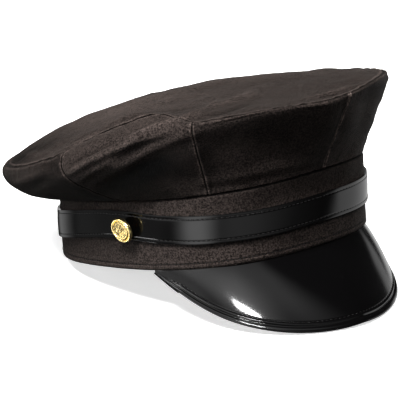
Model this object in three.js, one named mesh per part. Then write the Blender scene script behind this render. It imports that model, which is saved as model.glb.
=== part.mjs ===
// A chauffeur cap: a wide soft crown of a top panel and eight side panels on a stiff cloth band,
// with a glossy chin strap held by two round metal buttons, and a steep glossy peak.
// Millimetres and degrees, +Z up. The cap is first shaped level, with the lower rim of its band
// in the plane z = 0, its front towards -Y and the wearer's right towards -X. Then it is tipped
// nose up by the small angle at which it rests by itself on the rear of its band and on the
// lower edge of its peak. The origin is on that surface, under the middle of the resting cap.
// A turn is the angle around the head: 0 at the front, 90 at the wearer's right, 180 at the rear.
import * as THREE from "three";

// Band, the cloth ring round the head
const BAND_LENGTH = 208;
const BAND_WIDTH = 170;
const BAND_WALL = 2.2;
const BAND_EDGE_ROUND = 0.7;
const BAND_FRONT_HEIGHT = 46.5;
const BAND_REAR_HEIGHT = 39;
// How far the soft band's top leans towards the front, and how square its plan is at the temples
const BAND_LEAN = 6.5;
const PLAN_SQUARENESS = 0.03;
// How much the plan narrows at the rear, where nothing stiffens the band
const PLAN_TAPER = 0.02;

// Strap, the glossy loop round the band
const STRAP_WIDTH = 17.6;
const STRAP_THICKNESS = 1.5;
const STRAP_BEAD = 0.6;
const STRAP_BEAD_WIDTH = 1.7;
// Heights of its lower edge above the band's lower rim: the buttons hold it up at the sides
const STRAP_RUN = [
  { turn: 0, height: 15 },
  { turn: 25, height: 14.8 },
  { turn: 50, height: 15.7 },
  { turn: 65, height: 17.3 },
  { turn: 80, height: 19.5 },
  { turn: 95, height: 19.6 },
  { turn: 115, height: 16.5 },
  { turn: 135, height: 13 },
  { turn: 180, height: 12.5 },
];

// Buttons, one at each side, just behind the ends of the peak
const BUTTON_DIAMETER = 16.5;
const BUTTON_TURN = 80;
const BUTTON_HEIGHT = 27.8;
const BUTTON_DROOP = 12;
const SHANK_DIAMETER = 5;
const SHANK_LENGTH = 3.2;
// The button's section from the back of its rolled edge to the middle of its domed face, as
// shares of its radius: out from its axis, and up from its back
const BUTTON_SECTION = [
  { out: 0.88, up: 0 },
  { out: 1, up: 0.16 },
  { out: 0.92, up: 0.32 },
  { out: 0.83, up: 0.32 },
  { out: 0.76, up: 0.23 },
  { out: 0.5, up: 0.43 },
  { out: 0, up: 0.47 },
];

// Peak, the stiff curved shade over the eyes
const PEAK_HALF_SPAN = 70;
const PEAK_LENGTH = 57;
const PEAK_SLOPE_FRONT = 54;
const PEAK_SLOPE_SIDE = 84;
const PEAK_SLOPE_POWER = 1.3;
const PEAK_THICKNESS = 2;
// The raised rim along the outer edge, rounded over, with a groove behind it
const PEAK_RIM_WIDTH = 3.4;
const PEAK_RIM = [
  { inward: 1.5, raise: -0.25 },
  { inward: 1.05, raise: 0 },
  { inward: 0.8, raise: 0.7 },
  { inward: 0.3, raise: 0.7 },
  { inward: 0, raise: -0.4 },
];
// The outer edge falls off from the front to the ends, slower at first the higher this power is
const PEAK_EDGE_POWER = 1.05;
// The length left at the peak's two ends, and the bow of its face between the band and the edge
const PEAK_END_LENGTH = 1.5;
const PEAK_BOW = 0.05;

// Crown
const CROWN_LENGTH = 262;
const CROWN_WIDTH = 226;
const CROWN_CENTRE_HEIGHT = 95.5;
const CROWN_WALL = 1.6;
const DOME_POWER = 2.1;
// The folds fade out towards a seam over this part of the cloth's height or width: 1 in this many
const SEAM_FADE = 6;

// The crown's top seam is at this height above the band's lower rim. The side wall leaves the
// band towards its foot, which is this far out and up from the band's top, and comes to the top
// seam from its shoulder, which is this far out and down from the seam.
const CROWN_EDGE = [
  { turn: 0, height: 91.5, shoulderOut: 8, shoulderDown: 0, footOut: 10, footUp: 15 },
  { turn: 25, height: 93.5, shoulderOut: 8, shoulderDown: 0, footOut: 10, footUp: 15 },
  { turn: 50, height: 92, shoulderOut: 9, shoulderDown: 2, footOut: 10, footUp: 14 },
  { turn: 70, height: 88, shoulderOut: 12, shoulderDown: 8, footOut: 15, footUp: 9 },
  { turn: 90, height: 78, shoulderOut: 15, shoulderDown: 12, footOut: 22, footUp: 4 },
  { turn: 110, height: 68.5, shoulderOut: 14, shoulderDown: 8, footOut: 22, footUp: 0 },
  { turn: 135, height: 63, shoulderOut: 13, shoulderDown: 4, footOut: 19, footUp: -1 },
  { turn: 180, height: 63, shoulderOut: 13, shoulderDown: 4, footOut: 19, footUp: -1 },
];
// Soft folds of the cloth, each a ridge or a hollow that runs from one turn to another. On the
// side wall its place is a share of the way up from the band, on the top panel a share of the way
// out from the centre. A height below 0 is a hollow.
const WALL_FOLDS = [
  { fromTurn: 100, toTurn: 50, fromShare: 0.5, toShare: 0.93, width: 5, height: 1.8 },
  { fromTurn: 92, toTurn: 62, fromShare: 0.72, toShare: 0.88, width: 4, height: 1.2 },
  { fromTurn: 88, toTurn: 48, fromShare: 0.25, toShare: 0.75, width: 9, height: -2.4 },
  { fromTurn: 46, toTurn: 2, fromShare: 0.5, toShare: 0.55, width: 14, height: -1.6 },
  { fromTurn: 100, toTurn: 170, fromShare: 0.45, toShare: 0.62, width: 8, height: 1.6 },
  { fromTurn: 200, toTurn: 262, fromShare: 0.6, toShare: 0.5, width: 7, height: 1.8 },
  { fromTurn: 270, toTurn: 312, fromShare: 0.4, toShare: 0.85, width: 7, height: -2.2 },
  { fromTurn: 318, toTurn: 358, fromShare: 0.55, toShare: 0.5, width: 14, height: -1.6 },
];
const TOP_FOLDS = [
  { fromTurn: 125, toTurn: 20, fromShare: 0.74, toShare: 0.86, width: 8, height: 1.5 },
  { fromTurn: 110, toTurn: 45, fromShare: 0.56, toShare: 0.66, width: 9, height: 1.2 },
  { fromTurn: 150, toTurn: 235, fromShare: 0.8, toShare: 0.72, width: 10, height: 1.6 },
  { fromTurn: 240, toTurn: 330, fromShare: 0.7, toShare: 0.84, width: 9, height: 1.4 },
];
// Turns of the seams between the side panels
const PANEL_SEAMS = [0, 45, 90, 135, 180, 225, 270, 315];

// Half the width of those seams, as a turn
const SEAM_HALF_TURN = 0.1;

// Clearance between neighbouring pieces
const GAP = 0.3;

// Steps of the mesh
const RING_STEPS = 80;
const TOP_RINGS = 9;
// The rings of the top panel lie closer towards its edge, the more so the higher this power is
const TOP_RING_POWER = 1.3;
const PANEL_STEPS = 10;
const WALL_STEPS = 9;
// The rows of a side wall lie closer towards its top seam, the more so the higher this power is
const WALL_STEP_POWER = 1.3;
const PEAK_STEPS = 40;
const PEAK_ROWS = 7;
const BUTTON_STEPS = 28;
// The small step, as a turn or a share, over which a surface's direction is taken
const NUDGE = 1e-3;
// Points nearer to each other than this are one point
const SAME_POINT = 1e-6;

const rad = THREE.MathUtils.degToRad;
const lerp = THREE.MathUtils.lerp;

// The column of a table at a turn, smooth between its rows and alike on both sides of the cap
function tableAt(table, column, turn) {
  const t = Math.abs(THREE.MathUtils.euclideanModulo(turn + 180, 360) - 180);
  const last = table.length - 1;
  let i = 0;
  while (i < last - 1 && t > table[i + 1].turn) i += 1;
  const a = table[i];
  const b = table[i + 1];
  const slopeAt = (k) => {
    if (k === 0 || k === last) return 0;
    const before = table[k - 1];
    const after = table[k + 1];
    return (after[column] - before[column]) / (after.turn - before.turn);
  };
  const span = b.turn - a.turn;
  const s = (t - a.turn) / span;
  const s2 = s * s;
  const s3 = s2 * s;
  return (
    (2 * s3 - 3 * s2 + 1) * a[column] +
    (s3 - 2 * s2 + s) * span * slopeAt(i) +
    (3 * s2 - 2 * s3) * b[column] +
    (s3 - s2) * span * slopeAt(i + 1)
  );
}

// How far the folds of a table lift the cloth at a turn and a share of a way this many mm long
function foldLift(folds, turn, share, wayLength) {
  let lift = 0;
  for (const fold of folds) {
    const along = (turn - fold.fromTurn) / (fold.toTurn - fold.fromTurn);
    if (along <= 0 || along >= 1) continue;
    const away = (share - lerp(fold.fromShare, fold.toShare, along)) * wayLength;
    const fade = Math.sin(Math.PI * along);
    lift += fold.height * fade * Math.exp(-Math.pow(away / fold.width, 2));
  }
  return lift;
}

// A closed mesh over rows of points. Each row is a closed loop, and the rows join up in a ring
// or end in two flat caps, each a strip between the two halves of the row.
function skin(rows, ring) {
  const count = rows[0].length;
  const points = rows.flat();
  const index = [];
  const at = (i, j) => (i % rows.length) * count + (j % count);
  const quad = (a, b, c, d) => {
    index.push(a, b, c, a, c, d);
  };
  const spans = ring ? rows.length : rows.length - 1;
  for (let i = 0; i < spans; i += 1)
    for (let j = 0; j < count; j += 1)
      quad(at(i, j), at(i, j + 1), at(i + 1, j + 1), at(i + 1, j));
  if (!ring)
    for (let j = 0; j < count / 2 - 1; j += 1) {
      const far = count - 1 - j;
      const end = rows.length - 1;
      quad(at(0, j), at(0, far), at(0, far - 1), at(0, j + 1));
      quad(at(end, j), at(end, j + 1), at(end, far - 1), at(end, far));
    }
  return solid(points, index);
}

// A geometry from points and triangles, without the triangles that have no area, faces outwards
function solid(points, index) {
  const kept = [];
  let volume = 0;
  for (let i = 0; i < index.length; i += 3) {
    const [a, b, c] = index.slice(i, i + 3).map((k) => points[k]);
    const shortest = Math.min(a.distanceTo(b), b.distanceTo(c), c.distanceTo(a));
    if (shortest < SAME_POINT) continue;
    kept.push(index[i], index[i + 1], index[i + 2]);
    volume += a.dot(b.clone().cross(c));
  }
  if (volume < 0) kept.reverse();
  const geometry = new THREE.BufferGeometry().setFromPoints(points);
  geometry.setIndex(kept);
  geometry.computeVertexNormals();
  return geometry;
}

function material(color, roughness, metalness) {
  return new THREE.MeshStandardMaterial({ color, roughness, metalness });
}

const CLOTH = material(0x1c1815, 0.85, 0);
const GLOSS = material(0x0a0a0b, 0.12, 0);
const GOLD = material(0xcfa650, 0.3, 1);

const cap = new THREE.Group();

function piece(name, geometry, finish) {
  const mesh = new THREE.Mesh(geometry, finish);
  mesh.name = name;
  cap.add(mesh);
  return mesh;
}

// Band

// A point of the band's plan at a turn, its outside at offset 0
function planPoint(turn, offset) {
  const t = rad(turn);
  const size = 1 - PLAN_SQUARENESS * Math.cos(4 * t) - PLAN_TAPER * Math.cos(3 * t);
  const along = (s) =>
    new THREE.Vector2(
      (-BAND_WIDTH / 2) * size * Math.sin(s),
      (-BAND_LENGTH / 2) * size * Math.cos(s),
    );
  const tangent = along(t + NUDGE).sub(along(t - NUDGE)).normalize();
  const outward = new THREE.Vector2(tangent.y, -tangent.x);
  if (outward.dot(along(t)) < 0) outward.negate();
  return { point: along(t).addScaledVector(outward, offset), outward };
}

function bandHeight(turn) {
  const frontShare = (1 + Math.cos(rad(turn))) / 2;
  return lerp(BAND_REAR_HEIGHT, BAND_FRONT_HEIGHT, frontShare);
}

// A point on the leaning band's wall
function bandPoint(turn, offset, height) {
  const { point } = planPoint(turn, offset);
  const lean = (BAND_LEAN * height) / BAND_FRONT_HEIGHT;
  return new THREE.Vector3(point.x, point.y - lean, height);
}

// A ring of equal sections round the cap, a section being a list of offsets and heights
function bandRing(section) {
  const rows = [];
  for (let i = 0; i < RING_STEPS; i += 1) {
    const turn = (360 * i) / RING_STEPS;
    rows.push(section(turn).map(([offset, height]) => bandPoint(turn, offset, height)));
  }
  return skin(rows, true);
}

piece(
  "band",
  bandRing((turn) => {
    const top = bandHeight(turn);
    return [
      [-BAND_EDGE_ROUND, 0],
      [0, BAND_EDGE_ROUND],
      [0, top - BAND_EDGE_ROUND],
      [-BAND_EDGE_ROUND, top],
      [-BAND_WALL, top],
      [-BAND_WALL, 0],
    ];
  }),
  CLOTH,
);

// Strap

piece(
  "chin_strap",
  bandRing((turn) => {
    const inside = GAP;
    const face = GAP + STRAP_THICKNESS;
    const bead = face + STRAP_BEAD;
    const low = tableAt(STRAP_RUN, "height", turn);
    const high = low + STRAP_WIDTH;
    return [
      [inside, low],
      [face, low],
      [bead, low + STRAP_BEAD_WIDTH / 2],
      [face, low + STRAP_BEAD_WIDTH],
      [face, high - STRAP_BEAD_WIDTH],
      [bead, high - STRAP_BEAD_WIDTH / 2],
      [face, high],
      [inside, high],
    ];
  }),
  GLOSS,
);

// Buttons

function button(name, turn) {
  const radius = BUTTON_DIAMETER / 2;
  const points = [
    new THREE.Vector2(0, 0),
    new THREE.Vector2(SHANK_DIAMETER / 2, 0),
    new THREE.Vector2(SHANK_DIAMETER / 2, SHANK_LENGTH),
  ];
  for (const { out, up } of BUTTON_SECTION)
    points.push(new THREE.Vector2(out * radius, SHANK_LENGTH + up * radius));
  const mesh = piece(name, new THREE.LatheGeometry(points, BUTTON_STEPS), GOLD);
  const { outward } = planPoint(turn, 0);
  const face = new THREE.Vector3(outward.x, outward.y, -Math.tan(rad(BUTTON_DROOP))).normalize();
  mesh.quaternion.setFromUnitVectors(new THREE.Vector3(0, 1, 0), face);
  // The lower edge of the drooping shank's foot stays clear of the strap
  const clear = GAP + STRAP_THICKNESS + GAP + (SHANK_DIAMETER / 2) * Math.sin(rad(BUTTON_DROOP));
  mesh.position.copy(bandPoint(turn, clear, BUTTON_HEIGHT));
}

button("button_right", BUTTON_TURN);
button("button_left", -BUTTON_TURN);

// Peak

// The slope below the level, steeper towards the ends
function peakSlope(turn) {
  const share = Math.pow(Math.abs(turn) / PEAK_HALF_SPAN, PEAK_SLOPE_POWER);
  return rad(lerp(PEAK_SLOPE_FRONT, PEAK_SLOPE_SIDE, share));
}

function peakLength(turn) {
  const share = Math.min(Math.abs(turn) / PEAK_HALF_SPAN, 1);
  const full = Math.cos((Math.pow(share, PEAK_EDGE_POWER) * Math.PI) / 2);
  return lerp(PEAK_END_LENGTH, PEAK_LENGTH, full);
}

// A point of the peak's face: along runs from 0 at the band to 1 at the outer edge
function peakPoint(turn, along) {
  const slope = peakSlope(turn);
  const reach = along * peakLength(turn);
  const start = bandPoint(turn, -BAND_WALL / 2, -GAP);
  const { outward } = planPoint(turn, 0);
  const bow = PEAK_BOW * peakLength(turn) * 4 * along * (1 - along);
  const out = reach * Math.cos(slope) + bow * Math.sin(slope);
  const down = reach * Math.sin(slope) - bow * Math.cos(slope);
  return start.add(new THREE.Vector3(outward.x * out, outward.y * out, -down));
}

function peakNormal(turn, along) {
  const outwards = peakPoint(turn, along + NUDGE).sub(peakPoint(turn, along - NUDGE));
  const sideways = peakPoint(turn + NUDGE, along).sub(peakPoint(turn - NUDGE, along));
  const normal = outwards.cross(sideways).normalize();
  return normal.z < 0 ? normal.negate() : normal;
}

// The section of the peak at a turn: plain rows from the band, then the rim along the edge
function peakRow(turn) {
  const length = peakLength(turn);
  const rim = Math.min(PEAK_RIM_WIDTH, length / 2);
  const plain = 1 - (rim * 2) / length;
  const stations = [];
  for (let j = 0; j < PEAK_ROWS; j += 1)
    stations.push({ along: (plain * j) / (PEAK_ROWS - 1), raise: 0 });
  for (const { inward, raise } of PEAK_RIM)
    stations.push({ along: 1 - (inward * rim) / length, raise: (raise * rim) / PEAK_RIM_WIDTH });
  const upper = [];
  const lower = [];
  for (const { along, raise } of stations) {
    const here = peakPoint(turn, along);
    const normal = peakNormal(turn, along);
    upper.push(here.clone().addScaledVector(normal, raise));
    lower.push(here.addScaledVector(normal, -PEAK_THICKNESS));
  }
  return [...upper, ...lower.reverse()];
}

const peakRows = [];
for (let i = 0; i <= PEAK_STEPS; i += 1)
  peakRows.push(peakRow(lerp(-PEAK_HALF_SPAN, PEAK_HALF_SPAN, i / PEAK_STEPS)));
piece("peak", skin(peakRows, false), GLOSS);

// Crown

function crownEdgePoint(turn) {
  const t = rad(turn);
  return new THREE.Vector3(
    (-CROWN_WIDTH / 2) * Math.sin(t),
    (-CROWN_LENGTH / 2) * Math.cos(t),
    tableAt(CROWN_EDGE, "height", turn),
  );
}

// A point of the top panel: share runs from 0 at the centre to 1 at the crown's edge
function topPoint(turn, share) {
  const edge = crownEdgePoint(turn);
  const dome = (CROWN_CENTRE_HEIGHT - edge.z) * (1 - Math.pow(share, DOME_POWER));
  const atEdge = Math.min(1, (1 - share) * SEAM_FADE);
  const lift = foldLift(TOP_FOLDS, turn, share, CROWN_WIDTH / 2) * atEdge;
  return new THREE.Vector3(edge.x * share, edge.y * share, edge.z + dome + lift);
}

// The top seam at a turn: the direction through the cloth that halves the angle between the
// top panel and the side wall, and the way across the seam from the top panel to the wall
function topSeam(turn) {
  const seam = crownEdgePoint(turn);
  const round = crownEdgePoint(turn + NUDGE).sub(crownEdgePoint(turn - NUDGE)).normalize();
  const topwards = topPoint(turn, 1 - NUDGE).sub(seam);
  const wallwards = wallPoint(turn, 1 - NUDGE).sub(seam);
  const upOf = (way) => {
    const normal = way.cross(round).normalize();
    return normal.z < 0 ? normal.negate() : normal;
  };
  const ofTop = upOf(topwards);
  const ofWall = upOf(wallwards);
  const through = ofTop.clone().add(ofWall).normalize();
  const depth = CROWN_WALL / through.dot(ofTop);
  const across = round.clone().cross(through).normalize();
  if (across.dot(seam) < 0) across.negate();
  return { seam, through, depth, across };
}

const topRows = [];
for (let i = 0; i < RING_STEPS; i += 1) {
  const turn = (360 * i) / RING_STEPS;
  const { seam, through, depth, across } = topSeam(turn);
  const outer = [];
  const inner = [];
  for (let j = 0; j < TOP_RINGS; j += 1) {
    const share = 1 - Math.pow(1 - j / TOP_RINGS, TOP_RING_POWER);
    const here = topPoint(turn, share);
    outer.push(here);
    inner.push(here.clone().setZ(here.z - CROWN_WALL));
  }
  const edge = seam.addScaledVector(across, -GAP / 2);
  outer.push(edge);
  inner.push(edge.clone().addScaledVector(through, -depth));
  topRows.push([...outer, ...inner.reverse()]);
}
piece("top_panel", skin(topRows, true), CLOTH);

// A point of the side wall: rise runs from 0 at the band's top to 1 at the top seam
function wallPoint(turn, rise) {
  const low = bandPoint(turn, 0, bandHeight(turn) + GAP);
  const high = crownEdgePoint(turn);
  const { outward } = planPoint(turn, 0);
  const out = new THREE.Vector3(outward.x, outward.y, 0);
  const at = (column) => tableAt(CROWN_EDGE, column, turn);
  const foot = low.clone().addScaledVector(out, at("footOut"));
  foot.z += at("footUp");
  const shoulder = high.clone().addScaledVector(out, at("shoulderOut"));
  shoulder.z -= at("shoulderDown");
  const here = new THREE.CubicBezierCurve3(low, foot, shoulder, high).getPoint(rise);
  const atEdge = Math.min(1, rise * SEAM_FADE, (1 - rise) * SEAM_FADE);
  const lift = foldLift(WALL_FOLDS, turn, rise, low.distanceTo(high)) * atEdge;
  return here.addScaledVector(out, lift);
}

function wallNormal(turn, rise) {
  const upwards = wallPoint(turn, rise + NUDGE).sub(wallPoint(turn, rise - NUDGE));
  const round = wallPoint(turn + NUDGE, rise).sub(wallPoint(turn - NUDGE, rise));
  const normal = upwards.cross(round).normalize();
  const { outward } = planPoint(turn, 0);
  const leaning = normal.x * outward.x + normal.y * outward.y;
  return leaning < 0 ? normal.negate() : normal;
}

// A side panel from one turn to another, from the band's top to the top seam
function sidePanel(name, from, to) {
  const rows = [];
  for (let i = 0; i <= PANEL_STEPS; i += 1) {
    const turn = lerp(from, to, i / PANEL_STEPS);
    const { seam, through, depth, across } = topSeam(turn);
    const edge = seam.addScaledVector(across, GAP / 2);
    const outer = [];
    const inner = [];
    for (let j = 0; j < WALL_STEPS; j += 1) {
      const rise = 1 - Math.pow(1 - j / WALL_STEPS, WALL_STEP_POWER);
      const here = wallPoint(turn, rise);
      outer.push(here);
      inner.push(here.clone().addScaledVector(wallNormal(turn, rise), -CROWN_WALL));
    }
    outer.push(edge);
    inner.push(edge.clone().addScaledVector(through, -depth));
    rows.push([...outer, ...inner.reverse()]);
  }
  piece(name, skin(rows, false), CLOTH);
}

PANEL_SEAMS.forEach((from, k) => {
  const next = PANEL_SEAMS[k + 1] ?? 360;
  sidePanel(`side_panel_${k + 1}`, from + SEAM_HALF_TURN, next - SEAM_HALF_TURN);
});

// The tilt at which the peak's lower edge comes down to the surface that the band's rear rests on
function restTilt() {
  const rear = bandPoint(180, -BAND_EDGE_ROUND, 0);
  let tilt = 0;
  for (const row of peakRows)
    for (const point of row) tilt = Math.max(tilt, Math.atan2(-point.z, rear.y - point.y));
  return tilt;
}

cap.rotation.x = -restTilt();
cap.updateMatrixWorld(true);
const box = new THREE.Box3().setFromObject(cap, true);
const centre = box.getCenter(new THREE.Vector3());
cap.position.set(-centre.x, -centre.y, -box.min.z);

const whole = new THREE.Group();
whole.add(cap);
export default whole;
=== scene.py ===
"""The looks of a chauffeur cap: twill cloth, patent vinyl and gold plate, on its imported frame."""
import math

import bmesh
import bpy
import numpy as np
from mathutils import Matrix, Vector


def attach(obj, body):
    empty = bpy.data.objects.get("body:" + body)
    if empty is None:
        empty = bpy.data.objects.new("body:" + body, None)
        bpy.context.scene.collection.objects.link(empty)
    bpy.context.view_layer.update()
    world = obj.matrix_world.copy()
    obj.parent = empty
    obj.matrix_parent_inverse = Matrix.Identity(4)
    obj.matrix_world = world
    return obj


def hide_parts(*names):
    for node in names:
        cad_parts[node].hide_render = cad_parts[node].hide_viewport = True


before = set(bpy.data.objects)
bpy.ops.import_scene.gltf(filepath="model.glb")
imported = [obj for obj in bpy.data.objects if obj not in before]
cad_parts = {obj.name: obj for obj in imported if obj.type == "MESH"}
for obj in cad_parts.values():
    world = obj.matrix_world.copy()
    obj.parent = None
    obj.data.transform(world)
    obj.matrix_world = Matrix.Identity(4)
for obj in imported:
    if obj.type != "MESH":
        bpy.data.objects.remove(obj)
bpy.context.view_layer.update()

# Shape of the cap in millimetres and degrees, shaped level, with the lower rim of its band in the
# plane z = 0, its front towards -Y and the wearer's right towards -X. A turn is the angle round
# the head: 0 at the front, 90 at the wearer's right, 180 behind. The values are those of the
# part's source, but the crown's front edge is a little higher here, its foot there more upright,
# and its upright seams lie at slightly other turns. At rest the cap is tipped nose up by
# REST_TILT, and moved by REST_PLACE.
REST_TILT = 11.861
REST_PLACE = (0.206, -2.967, 21.018)

BAND_LENGTH = 208
BAND_WIDTH = 170
BAND_WALL = 2.2
BAND_FRONT_HEIGHT = 46.5
BAND_REAR_HEIGHT = 39
BAND_LEAN = 6.5
PLAN_SQUARENESS = 0.03
PLAN_TAPER = 0.02
GAP = 0.3

STRAP_WIDTH = 17.6
STRAP_THICKNESS = 1.5
# Heights of the strap's lower edge above the band's lower rim
STRAP_RUN = [
    {"turn": 0, "height": 15},
    {"turn": 25, "height": 14.8},
    {"turn": 50, "height": 15.7},
    {"turn": 65, "height": 17.3},
    {"turn": 80, "height": 19.5},
    {"turn": 95, "height": 19.6},
    {"turn": 115, "height": 16.5},
    {"turn": 135, "height": 13},
    {"turn": 180, "height": 12.5},
]

BUTTON_DIAMETER = 16.5
BUTTON_TURN = 80
BUTTON_HEIGHT = 27.8
BUTTON_DROOP = 12
SHANK_DIAMETER = 5
SHANK_LENGTH = 3.2

PEAK_HALF_SPAN = 70
PEAK_LENGTH = 57
PEAK_SLOPE_FRONT = 54
PEAK_SLOPE_SIDE = 84
PEAK_SLOPE_POWER = 1.3
PEAK_THICKNESS = 2
PEAK_EDGE_POWER = 1.05
PEAK_END_LENGTH = 1.5
PEAK_BOW = 0.05

CROWN_LENGTH = 262
CROWN_WIDTH = 226
CROWN_CENTRE_HEIGHT = 95.5
CROWN_WALL = 1.6
DOME_POWER = 2.1
SEAM_FADE = 6
# The crown's edge by turn: its height, and how far the side wall's curve is drawn out and down
# from its shoulder, and out and up from its foot at the band
EDGE_COLUMNS = ("turn", "height", "shoulder_out", "shoulder_down", "foot_out", "foot_up")
EDGE_ROWS = [
    (0, 93, 8, 0, 8, 16),
    (25, 95, 8, 0, 4, 17),
    (50, 92.6, 9, 2, 7, 15),
    (70, 88, 12, 8, 15, 9),
    (90, 78, 15, 12, 22, 4),
    (110, 68.5, 14, 8, 22, 0),
    (135, 63, 13, 4, 19, -1),
    (180, 63, 13, 4, 19, -1),
]
CROWN_EDGE = [dict(zip(EDGE_COLUMNS, row)) for row in EDGE_ROWS]
# Soft folds, each a ridge, or with a height below 0 a hollow, from one turn to another. On the
# side wall its place is a share of the way up, on the top panel a share of the way out.
FOLD_COLUMNS = ("from_turn", "to_turn", "from_share", "to_share", "width", "height")
WALL_FOLDS = [
    (100, 50, 0.5, 0.93, 5, 1.8),
    (92, 62, 0.72, 0.88, 4, 1.2),
    (88, 48, 0.25, 0.75, 9, -2.4),
    (46, 2, 0.5, 0.55, 14, -1.6),
    (100, 170, 0.45, 0.62, 8, 1.6),
    (200, 262, 0.6, 0.5, 7, 1.8),
    (270, 312, 0.4, 0.85, 7, -2.2),
    (318, 358, 0.55, 0.5, 14, -1.6),
]
TOP_FOLDS = [
    (125, 20, 0.74, 0.86, 8, 1.5),
    (110, 45, 0.56, 0.66, 9, 1.2),
    (150, 235, 0.8, 0.72, 10, 1.6),
    (240, 330, 0.7, 0.84, 9, 1.4),
]
# Finer creases of the cloth, which only show here. Their places are in millimetres in from the
# crown's edge, or below 0 down the side wall.
CREASES = [
    (86, 40, -32, -11, 4.5, 1.8),
    (85, 46, -38, -20, 7, -1.8),
    (91, 58, -18, -9, 2.4, 1.5),
    (90, 60, -13, -4, 2.2, -1.3),
    (88, 66, -25, -17, 2.0, 1.2),
    (80, 52, -14, 2, 2.0, 1.1),
    (74, 50, -20, -12, 2.2, -1.1),
    (68, 44, -14, 18, 4.0, 2.6),
    (58, 26, -16, 74, 5, 1.8),
    (46, -14, 40, 84, 6, 2.0),
    (44, 18, 6, 40, 6, -1.4),
    (45, 6, -6, -1.5, 2.2, 1.1),
    (45, 10, -10, -5, 2.6, -0.9),
    (52, -2, -47, -50, 4, 1.4),
    (14, -4, -7, -11, 3, 0.9),
    (122, 91, -17, -8, 3.5, 1.1),
    (118, 91, -24, -14, 3, -0.8),
    (128, 94, -28, -22, 4, 0.7),
    (97, 62, 7, 25, 3.0, 1.2),
    (95, 66, 13, 30, 3.0, -0.9),
    (88, 36, 30, 55, 6, -1.5),
    (8, -20, 16, 9, 3.2, 1.8),
    (4, -22, 10, 4, 2.4, -1.0),
    (140, 92, 14, 8, 3.5, 0.9),
    (150, 195, 63, 75, 24, -2.2),
    (215, 320, 76, 50, 30, 2.6),
    (180, 215, -29, -22, 4, 0.9),
    (228, 268, -33, -26, 4, 1.0),
    (300, 330, -8, -16, 3, 0.8),
    (345, 372, -45, -40, 4, 0.6),
    (190, 250, 13, 18, 3.5, 0.9),
    (280, 335, 9, 17, 3.5, 0.9),
]
# Painted light and shade on the side panels: where their cloth is painted darker, or with a height
# above 0 lighter, as a share of its colour
PAINTED_LIGHT_AND_SHADE = [
    (94, 38, -44, -27, 10, -0.8),
    (90, 58, -22, -13, 3, 0.35),
    (46, -5, -55, -57, 4.5, 0.9),
    (46, 6, -8, -3, 4, 0.3),
]
# Each seam between two side panels runs from a turn at the band to a turn at the crown's edge
PANEL_SEAMS = [
    {"low": -5, "high": -6.5},
    {"low": 48, "high": 45.5},
    {"low": 82, "high": 88.5},
    {"low": 135, "high": 135},
    {"low": 180, "high": 180},
    {"low": 225, "high": 225},
    {"low": 270, "high": 270},
    {"low": 315, "high": 315},
]

# On the wearer's right the slack cloth puffs up, and its top seam lies in over the crown's edge
PUFF_TURN = 66
PUFF_SPREAD = 15
PUFF_PLACE = 22
PUFF_WIDTH = 22
PUFF_HEIGHT = 5.5
# Turns, and how many millimetres in over the crown's edge the top seam lies there
SEAM_INSET = [
    (44, 0),
    (49, 11),
    (55, 21),
    (61, 18.5),
    (66, 12.5),
    (79, 9.6),
    (85, 8.5),
    (88, 5),
    (90, 0),
]

# Seams of the crown: how deep and how wide the cloth turns in, and its puckers beside them
SEAM_DEPTH = 0.6
SEAM_SOFTNESS = 0.55
SEAM_ROLL = 0.16
SEAM_ROLL_PLACE = 1.8
SEAM_ROLL_WIDTH = 1.3
PUCKER_HEIGHT = 0.22
PUCKER_REACH = 5
PUCKER_PITCH = 9
# Painted shading of the creases: how much lighter the cloth is painted on a ridge, and darker in
# a hollow, for each millimetre of its height
CREASE_PAINTED_SHADING = 0.25

UP = np.array([0, 0, 1.0])


def to_row(points):
    """Points of the level cap in millimetres, as they are on the resting cap in metres."""
    tilt = math.radians(REST_TILT)
    x, y, z = np.moveaxis(np.asarray(points, float), -1, 0)
    tipped = np.stack(
        [x, y * math.cos(tilt) + z * math.sin(tilt), z * math.cos(tilt) - y * math.sin(tilt)], -1
    )
    return (tipped + np.array(REST_PLACE)) * 1e-3


def table_at(column, turn, table=CROWN_EDGE):
    """A column of a table at a turn, smooth between its rows and alike on both sides."""
    turns = np.array([row["turn"] for row in table], float)
    values = np.array([row[column] for row in table], float)
    slopes = np.zeros_like(values)
    slopes[1:-1] = (values[2:] - values[:-2]) / (turns[2:] - turns[:-2])
    t = np.abs((np.asarray(turn, float) + 180) % 360 - 180)
    i = np.clip(np.searchsorted(turns, t) - 1, 0, len(turns) - 2)
    span = turns[i + 1] - turns[i]
    s = (t - turns[i]) / span
    return (
        (2 * s**3 - 3 * s**2 + 1) * values[i]
        + (s**3 - 2 * s**2 + s) * span * slopes[i]
        + (3 * s**2 - 2 * s**3) * values[i + 1]
        + (s**3 - s**2) * span * slopes[i + 1]
    )


def fold_lift(folds, turn, share, way_length):
    """How far folds lift the cloth at a turn and a share of a way that is way_length mm long."""
    lift = np.zeros(np.broadcast(turn, share).shape)
    for row in folds:
        fold = dict(zip(FOLD_COLUMNS, row))
        for round_turn in (0, 360, -360):
            along = (turn + round_turn - fold["from_turn"]) / (fold["to_turn"] - fold["from_turn"])
            inside = (along > 0) & (along < 1)
            place = fold["from_share"] + (fold["to_share"] - fold["from_share"]) * along
            away = (share - place) * way_length / fold["width"]
            lift += np.where(inside, fold["height"] * np.sin(np.pi * along) * np.exp(-away**2), 0)
    return lift


def bell(value, place, width):
    """1 at a place, fading to 0 over about its width to each side."""
    return np.exp(-(((value - place) / width) ** 2))


def soft_noise(u, v, seed, size):
    """Smooth unevenness of about unit height, whose waves are about size mm long."""
    rng = np.random.default_rng(seed)
    total = 0
    for _ in range(12):
        way = rng.uniform(0, 2 * np.pi)
        wave = size * rng.uniform(0.7, 1.7)
        phase = rng.uniform(0, 2 * np.pi)
        total = total + np.sin(2 * np.pi * (u * np.cos(way) + v * np.sin(way)) / wave + phase)
    return total / math.sqrt(6)


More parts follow.
